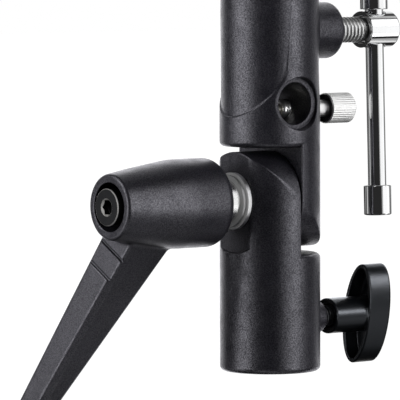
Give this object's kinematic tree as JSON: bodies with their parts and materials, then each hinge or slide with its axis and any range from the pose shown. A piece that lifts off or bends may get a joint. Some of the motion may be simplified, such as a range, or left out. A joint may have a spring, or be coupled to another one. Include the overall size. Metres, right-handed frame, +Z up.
{
  "type": "speedlite mount adapter",
  "caption": "Swivel bracket for a light stand: stand socket with clamp knob, ratchet-lever tilt joint, umbrella hole with thumb screw, and top socket with T-bar clamp holding a threaded stud.",
  "frame": {"origin": "centre of the stand socket's mouth, on the lower casting's bottom face", "axes": "+Z up along the sockets, +X along the tilt axis towards the three clamp screws, -X towards the ratchet lever, -Y towards the mouth of the umbrella hole that the picture shows"},
  "size_m": [0.1029, 0.055, 0.1364],
  "materials": {
    "casting_paint": "fine-textured black powder coat on aluminium castings",
    "lever_paint": "smoother black powder coat on a zinc casting",
    "black_steel": "black oxide",
    "satin_steel": "satin turned steel",
    "spring_steel": "drawn spring wire",
    "thread_steel": "rolled bright thread",
    "mirror_chrome": "mirror chrome plating",
    "turned_chrome": "bright chrome over fine turning marks",
    "knurled_nickel": "bright nickel over straight knurling",
    "tip_brass": "turned brass",
    "knob_plastic": "satin moulded black plastic"
  },
  "bodies": {
    "stand_body": {"lower_body": "casting_paint", "flat_washer": "satin_steel"},
    "head": {"upper_body": "casting_paint", "pivot_bolt": "black_steel"},
    "lever_washer": {"thrust_washer": "satin_steel"},
    "lever_core": {"lever_core": "satin_steel", "retaining_screw": "black_steel", "lever_spring": "spring_steel"},
    "lever": {"ratchet_lever": "lever_paint"},
    "clamp_tip": {"clamp_pad": "tip_brass"},
    "clamp": {"clamp_stud": "thread_steel", "clamp_head": "mirror_chrome"},
    "clamp_bar": {"tommy_bar": "mirror_chrome", "bar_cap_top": "mirror_chrome", "bar_cap_bottom": "mirror_chrome"},
    "thumb_tip": {"thumb_pad": "tip_brass"},
    "thumb": {"thumb_stud": "thread_steel", "thumb_head": "knurled_nickel"},
    "knob_tip": {"stand_pad": "tip_brass"},
    "knob": {"stand_knob": "knob_plastic", "knob_stud": "black_steel"},
    "stud": {"spigot": "turned_chrome"}
  },
  "joints": [
    {"name": "tilt", "type": "hinge", "parent": "stand_body", "child": "head", "pos_m": [0, 0, 0.046], "axis": [1, 0, 0], "range_deg": [-90, 90]},
    {"name": "lever_travel", "type": "slide", "parent": "stand_body", "child": "lever_washer", "axis": [-1, 0, 0], "range_m": [0, 0.00126]},
    {"name": "lever_turn", "type": "hinge", "parent": "lever_washer", "child": "lever_core", "pos_m": [0, 0, 0.046], "axis": [-1, 0, 0], "range_deg": [0, 360]},
    {"name": "lever_pull", "type": "slide", "parent": "lever_core", "child": "lever", "axis": [-1, 0, 0], "range_m": [0, 0.004], "stiffness_N_per_m": 1500, "springref_m": -0.003, "deforming": ["lever_spring"]},
    {"name": "clamp_travel", "type": "slide", "parent": "head", "child": "clamp_tip", "axis": [1, 0, 0], "range_m": [-0.00201, 0.00501]},
    {"name": "clamp_turn", "type": "hinge", "parent": "clamp_tip", "child": "clamp", "pos_m": [0, 0, 0.091], "axis": [1, 0, 0], "range_deg": [-576, 1440]},
    {"name": "bar_slide", "type": "slide", "parent": "clamp", "child": "clamp_bar", "axis": [0, 0.0297, 0.9996], "range_m": [0, 0.037]},
    {"name": "thumb_travel", "type": "slide", "parent": "head", "child": "thumb_tip", "axis": [1, 0, 0], "range_m": [-0.0008, 0.004]},
    {"name": "thumb_turn", "type": "hinge", "parent": "thumb_tip", "child": "thumb", "pos_m": [0, 0, 0.0699], "axis": [1, 0, 0], "range_deg": [-361, 1801]},
    {"name": "knob_travel", "type": "slide", "parent": "stand_body", "child": "knob_tip", "axis": [1, 0, 0], "range_m": [-0.002, 0.005]},
    {"name": "knob_turn", "type": "hinge", "parent": "knob_tip", "child": "knob", "pos_m": [0, 0, 0.0134], "axis": [1, 0, 0], "range_deg": [-721, 1801]},
    {"name": "stud_lift", "type": "slide", "parent": "head", "child": "stud", "axis": [0, 0, 1], "range_m": [0, 0.03]}
  ],
  "couplings": [
    {"joint": "lever_travel", "follows": "lever_turn", "m_per_rad": 0.00019894},
    {"joint": "clamp_travel", "follows": "clamp_turn", "m_per_rad": 0.00019894},
    {"joint": "thumb_turn", "follows": "thumb_travel", "rad_per_m": 7854},
    {"joint": "knob_turn", "follows": "knob_travel", "rad_per_m": 6283.2}
  ]
}
